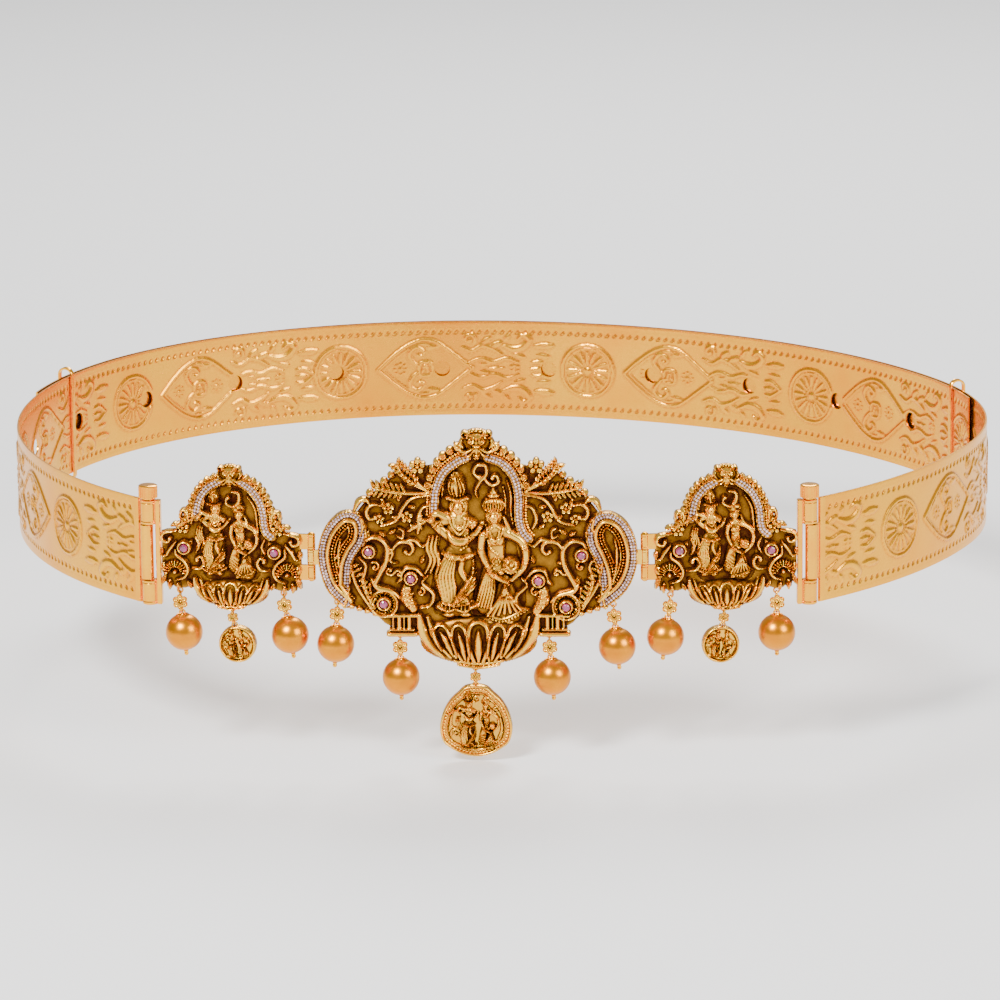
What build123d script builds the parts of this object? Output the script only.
from build123d import *

import math
import os

# Oddiyanam waist belt: two overlapping sheet bands, three hinged plaques, lift-out pins and drops.
# Frame: +X to the wearer's left as seen from the front, +Y to the back, +Z up. The origin is the
# centre of the waist opening, at half the height of the bands. Lengths are in millimetres.

# Bands: the plan runs clockwise from the left clasp hinge, round the back, to the right one
BAND_HEIGHT = 30.0
SHEET = 0.5
LAYER_STEP = 1.3
BAND_PATH = 643.0
ARC_RADII = (133.0, 132.0, 112.0, 142.0, 171.0, 160.0, 90.7, 150.5)
INNER_BAND_END = 508.0
OUTER_BAND_END = 142.0
HOLE_RADIUS = 2.5
HOLE_FIRST = 135.0
HOLE_PITCH = 33.6
HOLE_COUNT = 12

# Keeper loops round both layers
KEEPER_PLACES = {"keeper_left": 164.4, "keeper_right": 494.6}
KEEPER_WIDTH = 1.6
KEEPER_SHEET = 0.6
KEEPER_DEPTH = 5.0
KEEPER_RISE = 2.6
KEEPER_CLEAR = 0.3
KEEPER_BEND = 2.45

# Clasp hinges
PIN_RADIUS = 0.7
HEAD_RADIUS = 2.7
HEAD_HEIGHT = 3.75
HEAD_NECK = 0.5
NECK_RADIUS = 1.6
LOOP_RADIUS = 1.8
LOOP_BORE = 1.3
LOOP_HALF = 7.8
LOOP_PULL = 0.55
BAND_START = 2.6
BARREL_RADIUS = 2.2
BARREL_GAP = 0.2
PIN_CLEAR = 0.06
OPEN_PIVOT_CLEAR = 0.3
LEAF_NEAR = 2.0
LEAF_FAR = 3.5
LEAF_DEPTH = 2.2
CLASP_TOP = 15.0

# Front chain of plaques, between hinge axes
CENTRE_SPAN = 92.5
SIDE_SPAN = 46.0
SIDE_OUTER = 23.5

# Small hinges between the plaques
KNUCKLE_RADIUS = 1.2
KNUCKLE_HALF = 6.6
KNUCKLE_SPLIT = 2.2
KNUCKLE_GAP = 0.05
SMALL_PIN_RADIUS = 0.5
SMALL_PIN_BORE = 0.56
SMALL_PIN_HEAD = 0.85
SMALL_PIN_HEAD_HEIGHT = 0.4
WEB_DEPTH = 0.9

# Plaques
PLATE_DEPTH = 1.4
ARCH_DEPTH = 2.6
ARCH_WIDTH = 1.9
LOTUS_DEPTH = 4.6
LOTUS_BOWL_DEPTH = 2.6
LOTUS_BELLY_DEPTH = 4.2
LOTUS_BELLY_SHARE = 0.6
LOTUS_SHOULDER = 0.62
LOTUS_SHOULDER_RISE = 2.6
RIM_HEIGHT = 1.6
RIM_PROUD = 0.6
MASK_DEPTH = 3.8
SKIRT_DEPTH = 2.9
CHEST_DEPTH = 3.2
HEAD_DEPTH = 3.6
WAIST_SHARE = 0.52
SHOULDER_SHARE = 1.5
BEZEL_RADIUS = 1.8
BEZEL_DEPTH = 3.2
RUBY_RADIUS = 1.15
RUBY_SEAT = 2.2
RUBY_CLEAR = 0.05
RUBY_CROWN = 0.35
RUBY_TABLE = 0.7
MIN_Z = (Align.CENTER, Align.CENTER, Align.MIN)

# Drops
RING_RADIUS = 0.75
WIRE = 0.25
WIRE_GAP = 0.05
RING_STEP = 2 * RING_RADIUS - 2 * WIRE - WIRE_GAP
RING_SINK = 0.1
FLOWER_RADIUS = 2.2
FLOWER_EYE = 2.3
SMALL_FLOWER_RADIUS = 1.6
SMALL_FLOWER_EYE = 1.5
FLOWER_DISC_SHARE = 0.62
PETAL_PLACE_SHARE = 0.6
PETAL_SHARE = 0.4
PETAL_COUNT = 6
FLOWER_BACK = 0.5
PETAL_FRONT = 1.1
FLOWER_FRONT = 1.2
STEM_END_SHARE = 0.4
BEAD_RADIUS = 5.2
BEAD_BELOW_EYE = 6.6
BEAD_DIP = 1.4
BEAD_DIP_DEPTH = 0.8
BEAD_BORE = 0.4
BEAD_PIN = 0.32
PIN_NECK = 0.55
PIN_END = 0.65
PIN_TAIL = 1.0
MEDALLION_RADIUS = 5.2
MEDALLION_SIDES = 32
DROP_HALF_DEPTH = 1.3
DROP_RIM = 0.8
DROP_RIM_DEPTH = 0.2
DROP_TOP_CLEAR = 0.15

# Right half of each plaque's outline, from the top down: distance from the middle, height
SIDE_OUTLINE = (
    (0.0, 26.4),
    (3.0, 26.0),
    (4.0, 24.3),
    (3.9, 22.7),
    (6.1, 22.2),
    (8.5, 20.5),
    (10.2, 17.5),
    (12.6, 12.0),
    (14.6, 8.4),
    (16.0, 7.2),
    (20.2, 7.0),
    (20.4, -5.4),
    (19.4, -7.6),
    (18.8, -10.6),
    (17.9, -10.4),
    (16.8, -10.0),
    (16.2, -10.6),
    (13.4, -10.6),
    (11.4, -10.0),
    (8.4, -12.4),
    (5.4, -14.3),
    (0.0, -14.3),
)
CENTRE_OUTLINE = (
    (0.0, 37.4),
    (3.9, 36.3),
    (4.9, 33.5),
    (5.2, 31.6),
    (7.2, 31.3),
    (9.8, 29.5),
    (12.0, 27.0),
    (17.4, 26.4),
    (18.9, 24.6),
    (21.4, 25.5),
    (27.5, 20.3),
    (32.4, 15.2),
    (34.2, 12.8),
    (37.0, 12.4),
    (40.5, 10.0),
    (43.1, 6.0),
    (44.6, 1.2),
    (43.9, -3.6),
    (42.0, -8.5),
    (39.6, -12.4),
    (38.3, -13.2),
    (36.6, -13.7),
    (33.5, -15.3),
    (28.5, -17.2),
    (26.5, -19.4),
    (24.6, -20.4),
    (24.6, -22.4),
    (17.4, -22.4),
    (15.2, -24.4),
    (12.0, -27.0),
    (8.2, -29.8),
    (6.4, -30.3),
    (0.0, -30.3),
)
PEAR_OUTLINE = (
    (2.4, 0.0),
    (5.0, 2.1),
    (7.4, 4.5),
    (9.2, 7.9),
    (10.2, 12.1),
    (9.5, 15.6),
    (8.0, 17.5),
    (4.2, 19.6),
)
PEAR_HEIGHT = 20.4

# Arch: half width at the middle of the band, foot and springing heights. Couple: middle of each
# figure, feet, neck, head radius and half width of the skirt. Lotus: half width and height at the
# top, height of the rim's underside, half width of the rim. Mask and rubies: places on the plate.
SIDE_PLAQUE = {
    "outline": SIDE_OUTLINE,
    "arch": {"half": 9.3, "foot": 3.2, "spring": 10.0},
    "couple": (
        {"x": -4.2, "feet": -5.2, "neck": 11.8, "head": 1.25, "skirt": 3.1},
        {"x": 2.5, "feet": -5.6, "neck": 10.2, "head": 1.15, "skirt": 2.8},
    ),
    "lotus": {"half": 10.4, "top": -8.2, "rim": -15.5, "rim_half": 4.0},
    "mask": {"radius": 3.6, "z": 22.4},
    "rubies": ((-13.1, 2.0), (12.5, 1.4)),
    "web_x": 19.6,
}
CENTRE_PLAQUE = {
    "outline": CENTRE_OUTLINE,
    "arch": {"half": 11.6, "foot": 6.0, "spring": 15.8},
    "couple": (
        {"x": -5.2, "feet": -14.6, "neck": 12.6, "head": 2.1, "skirt": 5.0},
        {"x": 4.9, "feet": -16.6, "neck": 9.8, "head": 1.9, "skirt": 4.4},
    ),
    "lotus": {"half": 16.6, "top": -18.2, "rim": -31.9, "rim_half": 6.2},
    "mask": {"radius": 4.4, "z": 32.6},
    "rubies": ((-30.2, 2.0), (-18.6, -5.7), (-26.2, -13.0), (28.8, 0.9), (16.8, -6.4), (24.4, -13.9)),
    "web_x": 43.5,
}
PLAQUES = {"left": SIDE_PLAQUE, "centre": CENTRE_PLAQUE, "right": SIDE_PLAQUE}
# Drops by plaque: name, distance from the middle, height of the edge they hang from, tilt
DROPS = {
    "left": (
        ("left_1", "bead", -15.0, -10.7, 4.5),
        ("left", "medallion", -0.2, -15.5, 8.0),
        ("left_2", "bead", 14.5, -10.6, 8.0),
    ),
    "centre": (
        ("centre_1", "bead", -39.2, -12.9, -3.5),
        ("centre_2", "bead", -21.9, -22.4, 0.5),
        ("pear", "pear", -1.0, -31.9, 0.0),
        ("centre_3", "bead", 19.6, -22.4, 3.8),
        ("centre_4", "bead", 37.5, -13.55, 5.0),
    ),
    "right": (
        ("right_1", "bead", -15.4, -11.1, -7.0),
        ("right", "medallion", -0.4, -15.5, -6.0),
        ("right_2", "bead", 14.3, -10.8, 0.5),
    ),
}


def path_frames():
    """Start point and heading of each arc of the plan, drawn from the origin along +X."""
    step = BAND_PATH / len(ARC_RADII)
    x, y, heading = 0.0, 0.0, 0.0
    frames = []
    for radius in ARC_RADII:
        frames.append((x, y, heading, radius))
        turned = heading - step / radius
        x += radius * (math.sin(heading) - math.sin(turned))
        y += radius * (math.cos(turned) - math.cos(heading))
        heading = turned
    frames.append((x, y, heading, ARC_RADII[-1]))
    return frames, step


FRAMES, ARC_STEP = path_frames()


def raw_point(place, offset):
    """Point of the undirected plan at a path length, offset to the outside."""
    index = min(int(max(place, 0.0) / ARC_STEP), len(ARC_RADII) - 1)
    x, y, heading, radius = FRAMES[index]
    turned = heading - (place - index * ARC_STEP) / radius
    px = x + radius * (math.sin(heading) - math.sin(turned))
    py = y + radius * (math.cos(turned) - math.cos(heading))
    return px - offset * math.sin(turned), py + offset * math.cos(turned), turned


LEFT_END = raw_point(0.0, SHEET / 2)
RIGHT_END = raw_point(BAND_PATH, LAYER_STEP + SHEET / 2)
CHORD = math.hypot(RIGHT_END[0] - LEFT_END[0], RIGHT_END[1] - LEFT_END[1])
CHORD_TURN = -math.atan2(RIGHT_END[1] - LEFT_END[1], RIGHT_END[0] - LEFT_END[0])


def turned_point(place, offset):
    """Plan point with the hinge line along X and its middle at the origin."""
    x, y, heading = raw_point(place, offset)
    dx, dy = x - LEFT_END[0], y - LEFT_END[1]
    cos, sin = math.cos(CHORD_TURN), math.sin(CHORD_TURN)
    return dx * cos - dy * sin - CHORD / 2, dx * sin + dy * cos, heading + CHORD_TURN


# The hinge pins stand inside the band loops, pulled towards the front
AXIS_SPAN = CHORD - 2 * LOOP_PULL
BOW = math.degrees(math.acos((AXIS_SPAN - CENTRE_SPAN) / 2 / SIDE_SPAN))
FRONT_PROUD = SIDE_SPAN * math.sin(math.radians(BOW))
BACK_REACH = max(turned_point(place, 0.0)[1] for place in range(0, int(BAND_PATH), 2))
HINGE_Y = -(BACK_REACH - FRONT_PROUD) / 2


def plan_point(place, offset=0.0):
    """Plan point at a path length, offset to the outside, in the belt's frame."""
    x, y, heading = turned_point(place, offset)
    return x, y + HINGE_Y, heading


def strip(start, end, near, far, low, high):
    """Curved sheet between two path lengths, two offsets and two heights."""
    joints = [index * ARC_STEP for index in range(len(ARC_RADII) + 1)]
    stops = [start] + [joint for joint in joints if start < joint < end] + [end]
    edges = []
    for offset, order in ((near, stops), (far, stops[::-1])):
        for first, last in zip(order, order[1:]):
            points = [plan_point(place, offset)[:2] for place in (first, (first + last) / 2, last)]
            edges.append(ThreePointArc(*points))
    for place in (start, end):
        edges.append(Line(plan_point(place, near)[:2], plan_point(place, far)[:2]))
    return extrude(Pos(0, 0, low) * make_face(edges), high - low)


def upright(radius, low, high, x=0.0, y=0.0):
    """Cylinder along Z."""
    return Pos(x, y, (low + high) / 2) * Cylinder(radius, high - low)


def facing(radius, back, front, x=0.0, z=0.0):
    """Cylinder along Y, given by the depths of its back and front faces."""
    return Pos(x, -(back + front) / 2, z) * Rot(90, 0, 0) * Cylinder(radius, front - back)


def block(x0, x1, y0, y1, z0, z1):
    """Box between two corners."""
    return Pos((x0 + x1) / 2, (y0 + y1) / 2, (z0 + z1) / 2) * Box(x1 - x0, y1 - y0, z1 - z0)


def profile(points, back, front):
    """Outline in the X and Z directions, made a solid between two depths towards the front."""
    face = make_face(Polyline(*points, close=True))
    return Pos(0, -back, 0) * Rot(90, 0, 0) * extrude(face, front - back)


def along_plan(place):
    """Location on the plan: local X along the path, local Y to the outside."""
    x, y, heading = plan_point(place)
    return Pos(x, y, 0) * Rot(0, 0, math.degrees(heading))


def band(start, end, offset, loop_place):
    """One sheet layer with the tab and rolled loop of its clasp hinge."""
    half = BAND_HEIGHT / 2
    sheet = strip(start, end, offset, offset + SHEET, -half, half)
    low, high = sorted((loop_place, start if loop_place < start else end))
    tab = strip(low, high, offset, offset + SHEET, -LOOP_HALF, LOOP_HALF)
    x, y, _ = plan_point(loop_place, offset + SHEET / 2)
    body = sheet + tab + upright(LOOP_RADIUS, -LOOP_HALF, LOOP_HALF, x, y)
    return body - upright(LOOP_BORE, -LOOP_HALF - 1, LOOP_HALF + 1, x, y)


def band_left():
    """Inner layer, with the adjustment holes in the stretch that the outer layer backs."""
    body = band(BAND_START, INNER_BAND_END, 0.0, 0.0)
    for index in range(HOLE_COUNT):
        place = HOLE_FIRST + index * HOLE_PITCH
        if place < INNER_BAND_END - 2 * HOLE_RADIUS:
            drill = Rot(90, 0, 0) * Cylinder(HOLE_RADIUS, 8 * SHEET)
            body -= along_plan(place) * drill
    return body


def band_right():
    """Outer layer."""
    return band(OUTER_BAND_END, BAND_PATH - BAND_START, LAYER_STEP, BAND_PATH)


def keeper(place):
    """Narrow strap loop round both layers."""
    inner_face = -KEEPER_CLEAR - KEEPER_SHEET
    tall = BAND_HEIGHT + 2 * KEEPER_RISE
    outer = RectangleRounded(KEEPER_DEPTH, tall, KEEPER_BEND)
    inner_depth = KEEPER_DEPTH - 2 * KEEPER_SHEET
    inside = RectangleRounded(inner_depth, tall - 2 * KEEPER_SHEET, KEEPER_BEND - KEEPER_SHEET)
    loop = extrude(outer - inside, KEEPER_WIDTH / 2, both=True)
    standing = Rot(0, 0, 90) * Rot(90, 0, 0) * loop
    return along_plan(place) * Pos(0, inner_face + KEEPER_DEPTH / 2, 0) * standing


def clasp_pin():
    """Lift-out pin with its knurled head, standing on the top barrel."""
    shaft = upright(PIN_RADIUS, -CLASP_TOP + BARREL_GAP, CLASP_TOP + BARREL_GAP + HEAD_NECK)
    neck = upright(NECK_RADIUS, CLASP_TOP + 0.05, CLASP_TOP + HEAD_NECK)
    head = upright(HEAD_RADIUS, CLASP_TOP + HEAD_NECK, CLASP_TOP + HEAD_NECK + HEAD_HEIGHT)
    return shaft + neck + head


def small_pin():
    """Riveted pin of a small hinge."""
    top = KNUCKLE_HALF + KNUCKLE_GAP
    pin = upright(SMALL_PIN_RADIUS, -top, top)
    for side in (-1, 1):
        low, high = sorted((side * top, side * (top + SMALL_PIN_HEAD_HEIGHT)))
        pin += upright(SMALL_PIN_HEAD, low, high)
    return pin


def mirrored(points):
    """Closed outline from its right half."""
    left = [(-x, z) for x, z in reversed(points) if x > 0]
    return list(points) + left


def arch(half, foot, spring):
    """Horseshoe band that carries the paved stones."""
    outer = Pos(0, spring) * Circle(half + ARCH_WIDTH / 2)
    inner = Pos(0, spring) * Circle(half - ARCH_WIDTH / 2)
    upper = (outer - inner) & (Pos(0, spring + half) * Rectangle(4 * half, 2 * half))
    legs = Sketch()
    for side in (-1, 1):
        legs += Pos(side * half, (foot + spring) / 2) * Rectangle(ARCH_WIDTH, spring - foot)
    return Rot(90, 0, 0) * extrude(upper + legs, ARCH_DEPTH)


def tapered(x, low, low_half, high, high_half, depth):
    """Block in the plate's plane whose width changes evenly from its foot to its top."""
    corners = ((x - low_half, low), (x + low_half, low), (x + high_half, high), (x - high_half, high))
    return profile(corners, 0.0, depth)


def figure(spec):
    """Plain stand-in of one figure: skirt, chest and head in low relief."""
    x, feet, neck, head = spec["x"], spec["feet"], spec["neck"], spec["head"]
    waist = feet + WAIST_SHARE * (neck - feet)
    skirt = tapered(x, feet, spec["skirt"], waist, head, SKIRT_DEPTH)
    chest = tapered(x, waist, head, neck - head, SHOULDER_SHARE * head, CHEST_DEPTH)
    return skirt + chest + facing(head, 0.0, HEAD_DEPTH, x, neck)


def lotus(spec):
    """Lotus base, bulging to the front, on its rim."""
    half, rim_half = spec["half"], spec["rim_half"]
    shoulder = LOTUS_SHOULDER * half, spec["rim"] + LOTUS_SHOULDER_RISE
    rim_top = spec["rim"] + RIM_HEIGHT
    right = [(half, spec["top"]), shoulder, (rim_half, rim_top)]
    outline = right + [(-x, z) for x, z in reversed(right)]
    bowl = profile(outline, 0.0, LOTUS_BOWL_DEPTH)
    belly = profile([(LOTUS_BELLY_SHARE * x, z) for x, z in outline], 0.0, LOTUS_BELLY_DEPTH)
    proud = rim_half + RIM_PROUD
    return bowl + belly + block(-proud, proud, -LOTUS_DEPTH, 0.0, spec["rim"], rim_top)


def plaque(spec):
    """Decorated plate: outline, arch, couple, lotus base, lion mask and ruby bezels."""
    body = profile(mirrored(spec["outline"]), 0.0, PLATE_DEPTH)
    body += arch(**spec["arch"])
    for person in spec["couple"]:
        body += figure(person)
    body += lotus(spec["lotus"])
    body += facing(spec["mask"]["radius"], 0.0, MASK_DEPTH, 0.0, spec["mask"]["z"])
    for x, z in spec["rubies"]:
        body += facing(BEZEL_RADIUS, 0.0, BEZEL_DEPTH, x, z)
        body -= facing(RUBY_RADIUS + RUBY_CLEAR, RUBY_SEAT, BEZEL_DEPTH + 1, x, z)
    return body


def ruby(x, z):
    """Round stone seated in its bezel."""
    stone = facing(RUBY_RADIUS, RUBY_SEAT + RUBY_CLEAR, BEZEL_DEPTH, x, z)
    crown = Cone(RUBY_RADIUS, RUBY_TABLE, RUBY_CROWN, align=MIN_Z)
    return stone + Pos(x, -BEZEL_DEPTH, z) * Rot(90, 0, 0) * crown


def ring_facing(x, z):
    """Wire ring seen from the front, its hole along Y."""
    return Pos(x, 0, z) * Rot(90, 0, 0) * Torus(RING_RADIUS, WIRE)


def ring_edge(x, z):
    """Wire ring seen edge on from the front, its hole along X."""
    return Pos(x, 0, z) * Rot(0, 90, 0) * Torus(RING_RADIUS, WIRE)


def plate_ring(x, edge):
    """Ring soldered behind a plate's edge."""
    return ring_facing(x, edge - RING_SINK)


def flower_link(radius, eye):
    """Petalled flower with a ring above and below, its upper ring's middle at the origin."""
    disc = facing(radius * FLOWER_DISC_SHARE, FLOWER_BACK, FLOWER_FRONT, 0.0, -eye)
    for index in range(PETAL_COUNT):
        angle = 2 * math.pi * (index + 0.5) / PETAL_COUNT
        x = PETAL_PLACE_SHARE * radius * math.cos(angle)
        z = PETAL_PLACE_SHARE * radius * math.sin(angle)
        disc += facing(PETAL_SHARE * radius, FLOWER_BACK, PETAL_FRONT, x, z - eye)
    end = STEM_END_SHARE * RING_RADIUS
    stem = block(-WIRE, WIRE, -FLOWER_BACK - 0.1, WIRE, end - 2 * eye, -end)
    for z in (0, -2 * eye):
        stem -= Pos(0, 0, z) * Rot(0, 90, 0) * Cylinder(RING_RADIUS, 2)
    return disc + stem + ring_edge(0, 0) + ring_edge(0, -2 * eye)


def head_pin():
    """Head pin of a bead, its loop's middle at the origin."""
    top = BEAD_RADIUS - BEAD_BELOW_EYE + RING_STEP
    floor = top - BEAD_DIP_DEPTH
    bottom = top - 2 * BEAD_RADIUS
    loop = ring_facing(0, 0)
    neck = upright(PIN_NECK, floor + 0.05, -RING_RADIUS + 0.1)
    shaft = upright(BEAD_PIN, bottom - 0.3, floor + 0.1)
    tail = upright(PIN_END, bottom - PIN_TAIL, bottom - 0.05)
    ball = Pos(0, 0, bottom - PIN_TAIL) * Sphere(PIN_END)
    return loop + neck + shaft + tail + ball


def bead():
    """Hollow gold bead, drawn as a drilled ball with a dip on top for the pin's loop."""
    middle = -BEAD_BELOW_EYE + RING_STEP
    ball = Sphere(BEAD_RADIUS) - Cylinder(BEAD_BORE, 3 * BEAD_RADIUS)
    dip = upright(BEAD_DIP, BEAD_RADIUS - BEAD_DIP_DEPTH, BEAD_RADIUS + 1)
    return Pos(0, 0, middle) * (ball - dip)


def drop_top():
    """Height of a flat drop's top below its own ring's middle."""
    return RING_STEP - RING_RADIUS - WIRE - DROP_TOP_CLEAR


def flat_drop(outline):
    """Flat drop with a raised rim, hung by the ring on its top, the ring's middle at the origin."""
    face = make_face(Polyline(*outline, close=True))
    body = extrude(face, DROP_HALF_DEPTH, both=True)
    rim = extrude(face - offset(face, -DROP_RIM), DROP_HALF_DEPTH + DROP_RIM_DEPTH)
    return Rot(90, 0, 0) * (body + rim) + ring_facing(0, 0)


def medallion():
    """Round drop."""
    middle = drop_top() - MEDALLION_RADIUS
    points = []
    for index in range(MEDALLION_SIDES):
        angle = 2 * math.pi * index / MEDALLION_SIDES
        points.append((MEDALLION_RADIUS * math.cos(angle), middle + MEDALLION_RADIUS * math.sin(angle)))
    return flat_drop(points)


def pear():
    """Pear-shaped main drop."""
    top = drop_top()
    half = [(x, top - down) for x, down in PEAR_OUTLINE]
    return flat_drop(half + [(0.0, top - PEAR_HEIGHT)] + [(-x, z) for x, z in reversed(half)])


def hang(name, kind, x, edge, tilt):
    """Nodes of one drop, hung from its plate ring and turned about that ring's lowest wire."""
    small = kind != "bead"
    radius = SMALL_FLOWER_RADIUS if small else FLOWER_RADIUS
    eye = SMALL_FLOWER_EYE if small else FLOWER_EYE
    pivot = edge - RING_SINK - RING_RADIUS
    place = Pos(x, 0, pivot) * Rot(0, -tilt, 0) * Pos(0, 0, RING_RADIUS - RING_STEP)
    lower = place * Pos(0, 0, -2 * eye - RING_STEP)
    nodes = {"flower_link_" + name: place * flower_link(radius, eye)}
    if kind == "bead":
        nodes["bead_" + name] = lower * bead()
        nodes["bead_pin_" + name] = lower * head_pin()
    elif kind == "medallion":
        nodes["medallion_" + name] = lower * medallion()
    else:
        nodes["pear_drop"] = lower * pear()
    return nodes


def clasp_half(axis_x, side, clearance):
    """Outer barrels and leaf bar soldered to a side plaque; side points from the axis to the plaque."""
    body = Part()
    for low, high in ((LOOP_HALF + BARREL_GAP, CLASP_TOP), (-CLASP_TOP, -LOOP_HALF - BARREL_GAP)):
        body += upright(BARREL_RADIUS, low, high, axis_x, 0.0)
        x0, x1 = sorted((axis_x, axis_x + side * (LEAF_NEAR + 0.1)))
        body += block(x0, x1, -LEAF_DEPTH / 2, LEAF_DEPTH / 2, low, high)
    x0, x1 = sorted((axis_x + side * LEAF_NEAR, axis_x + side * LEAF_FAR))
    body += block(x0, x1, -LEAF_DEPTH / 2, LEAF_DEPTH / 2, -CLASP_TOP, CLASP_TOP)
    return body - upright(PIN_RADIUS + clearance, -CLASP_TOP - 1, CLASP_TOP + 1, axis_x, 0.0)


def knuckle(axis_x, edge_x, low, high):
    """Barrel of a small hinge with the web to its plaque's edge."""
    x0, x1 = sorted((axis_x, edge_x))
    body = upright(KNUCKLE_RADIUS, low, high, axis_x, 0.0)
    body += block(x0, x1, -WEB_DEPTH, 0.0, low, high)
    return body - upright(SMALL_PIN_BORE, low - 1, high + 1, axis_x, 0.0)


def side_motif(outer, clearance):
    """Side plaque; outer is -1 on the left and 1 on the right, where its clasp barrels are."""
    body = plaque(SIDE_PLAQUE) + clasp_half(outer * SIDE_OUTER, -outer, clearance)
    inner_x = -outer * (SIDE_SPAN - SIDE_OUTER)
    web_x = -outer * SIDE_PLAQUE["web_x"]
    body += knuckle(inner_x, web_x, KNUCKLE_SPLIT, KNUCKLE_HALF)
    body += knuckle(inner_x, web_x, -KNUCKLE_HALF, -KNUCKLE_SPLIT)
    return body


def centre_motif():
    """Middle plaque with the middle barrel of each small hinge."""
    body = plaque(CENTRE_PLAQUE)
    high = KNUCKLE_SPLIT - 2 * KNUCKLE_GAP
    for side in (-1, 1):
        body += knuckle(side * CENTRE_SPAN / 2, side * CENTRE_PLAQUE["web_x"], -high, high)
    return body


def plaque_places():
    """Location of each plaque's own frame, whose Y is 0 on the hinge line."""
    bow = math.radians(BOW)
    half = AXIS_SPAN / 2
    inner = SIDE_OUTER * math.cos(bow), SIDE_OUTER * math.sin(bow)
    left = Pos(-half + inner[0], HINGE_Y - inner[1], 0) * Rot(0, 0, -BOW)
    right = Pos(half - inner[0], HINGE_Y - inner[1], 0) * Rot(0, 0, BOW)
    return {"left": left, "centre": Pos(0, HINGE_Y - FRONT_PROUD, 0), "right": right}


def build():
    """All nodes of the belt by name."""
    nodes = {"band_left": band_left(), "band_right": band_right()}
    for name, place in KEEPER_PLACES.items():
        nodes[name] = keeper(place)
    half = AXIS_SPAN / 2
    nodes["clasp_pin_left"] = Pos(-half, HINGE_Y, 0) * clasp_pin()
    nodes["clasp_pin_right"] = Pos(half, HINGE_Y, 0) * clasp_pin()
    for side, name in ((-1, "hinge_pin_left"), (1, "hinge_pin_right")):
        nodes[name] = Pos(side * CENTRE_SPAN / 2, HINGE_Y - FRONT_PROUD, 0) * small_pin()
    bodies = {
        "left": side_motif(-1, PIN_CLEAR),
        "centre": centre_motif(),
        "right": side_motif(1, OPEN_PIVOT_CLEAR),
    }
    for key, place in plaque_places().items():
        body = bodies[key]
        for name, kind, x, edge, tilt in DROPS[key]:
            body += plate_ring(x, edge)
            for node, shape in hang(name, kind, x, edge, tilt).items():
                nodes[node] = place * shape
        nodes["motif_" + key] = place * body
        for index, (x, z) in enumerate(PLAQUES[key]["rubies"], start=1):
            nodes[f"ruby_{key}_{index}"] = place * ruby(x, z)
    return nodes


os.makedirs("parts", exist_ok=True)
NODES = build()
for node_name, node_shape in NODES.items():
    export_step(node_shape, f"parts/{node_name}.step")
print(f"{len(NODES)} nodes, chord {CHORD:.2f}, pin axes {AXIS_SPAN:.2f}")
print(f"bow {BOW:.2f}, hinge line {HINGE_Y:.2f}")
print(f"waist depth {BACK_REACH + FRONT_PROUD:.1f}, proud {FRONT_PROUD:.2f}")
